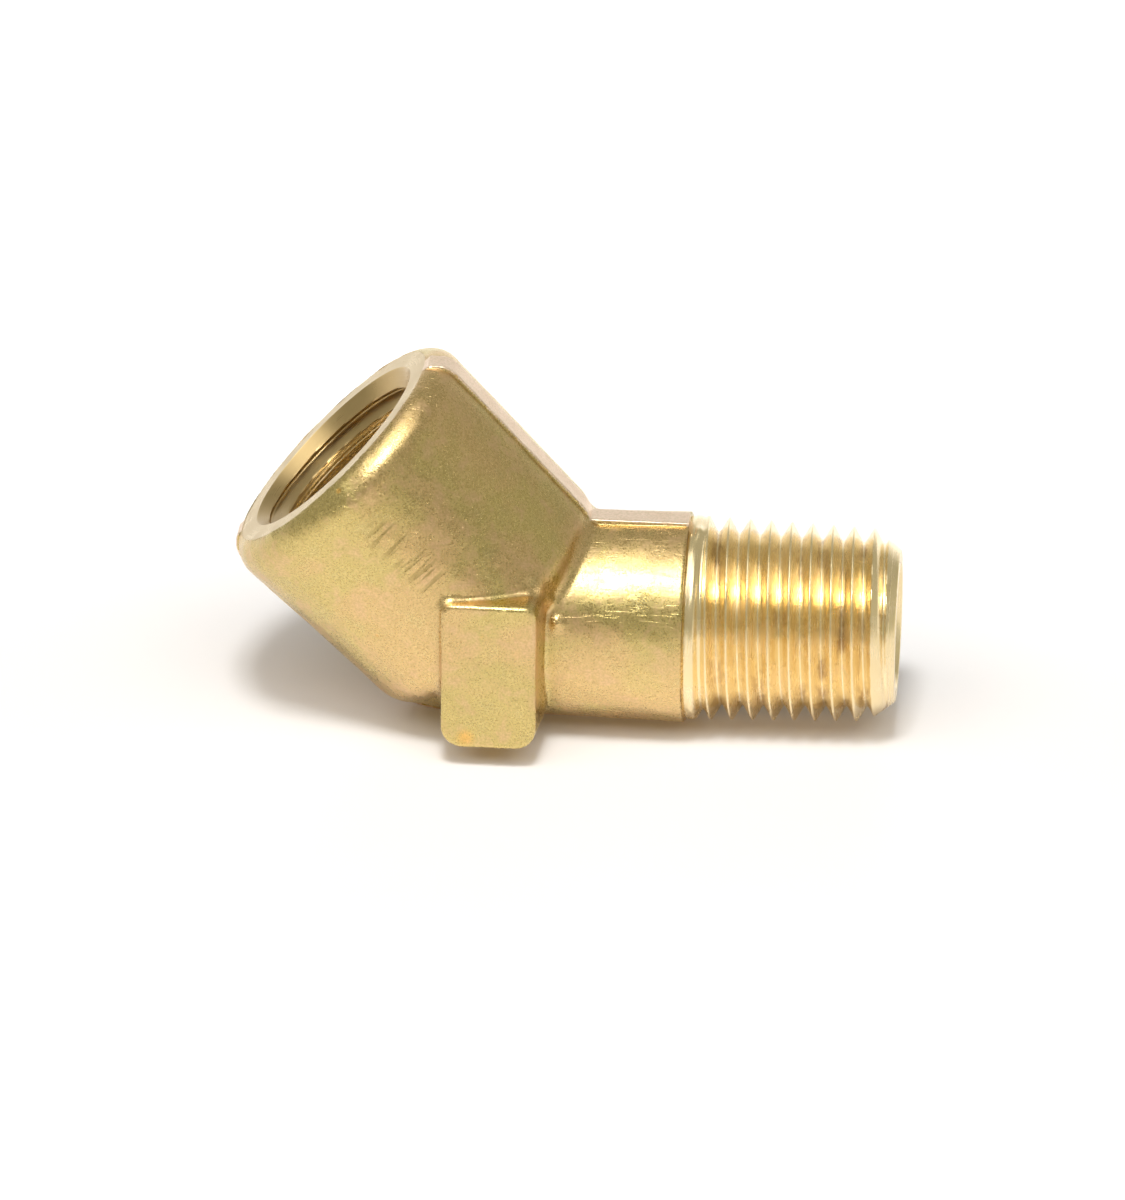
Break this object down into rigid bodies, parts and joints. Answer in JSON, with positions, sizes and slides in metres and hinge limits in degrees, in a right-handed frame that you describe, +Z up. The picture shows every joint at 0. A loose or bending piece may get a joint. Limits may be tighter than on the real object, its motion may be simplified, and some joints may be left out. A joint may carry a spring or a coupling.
{
  "type": "street elbow fitting",
  "caption": "Forged brass 45 degree street elbow: round head with a tapped female port, short neck with wrench pads, and a taper-threaded male end.",
  "frame": {"origin": "on the surface it lies on, below the middle of its bounding box", "axes": "+X out of the male end, along its bore; +Z up; the bend lies in the XZ plane, and the female port faces up and towards -X at 45 degrees"},
  "size_m": [0.045, 0.0206, 0.0254],
  "materials": {
    "forged_brass": "as-forged brass skin, fine matt grain with pinkish copper tints, half dull",
    "machined_brass": "bright turned brass with fine tool marks"
  },
  "bodies": {
    "root": {"socket_head": "forged_brass", "port_face": "machined_brass", "female_thread": "machined_brass", "knuckle": "forged_brass", "neck": "forged_brass", "wrench_pads": "forged_brass", "parting_line": "forged_brass", "male_spigot": "machined_brass", "male_thread": "machined_brass"}
  },
  "joints": []
}
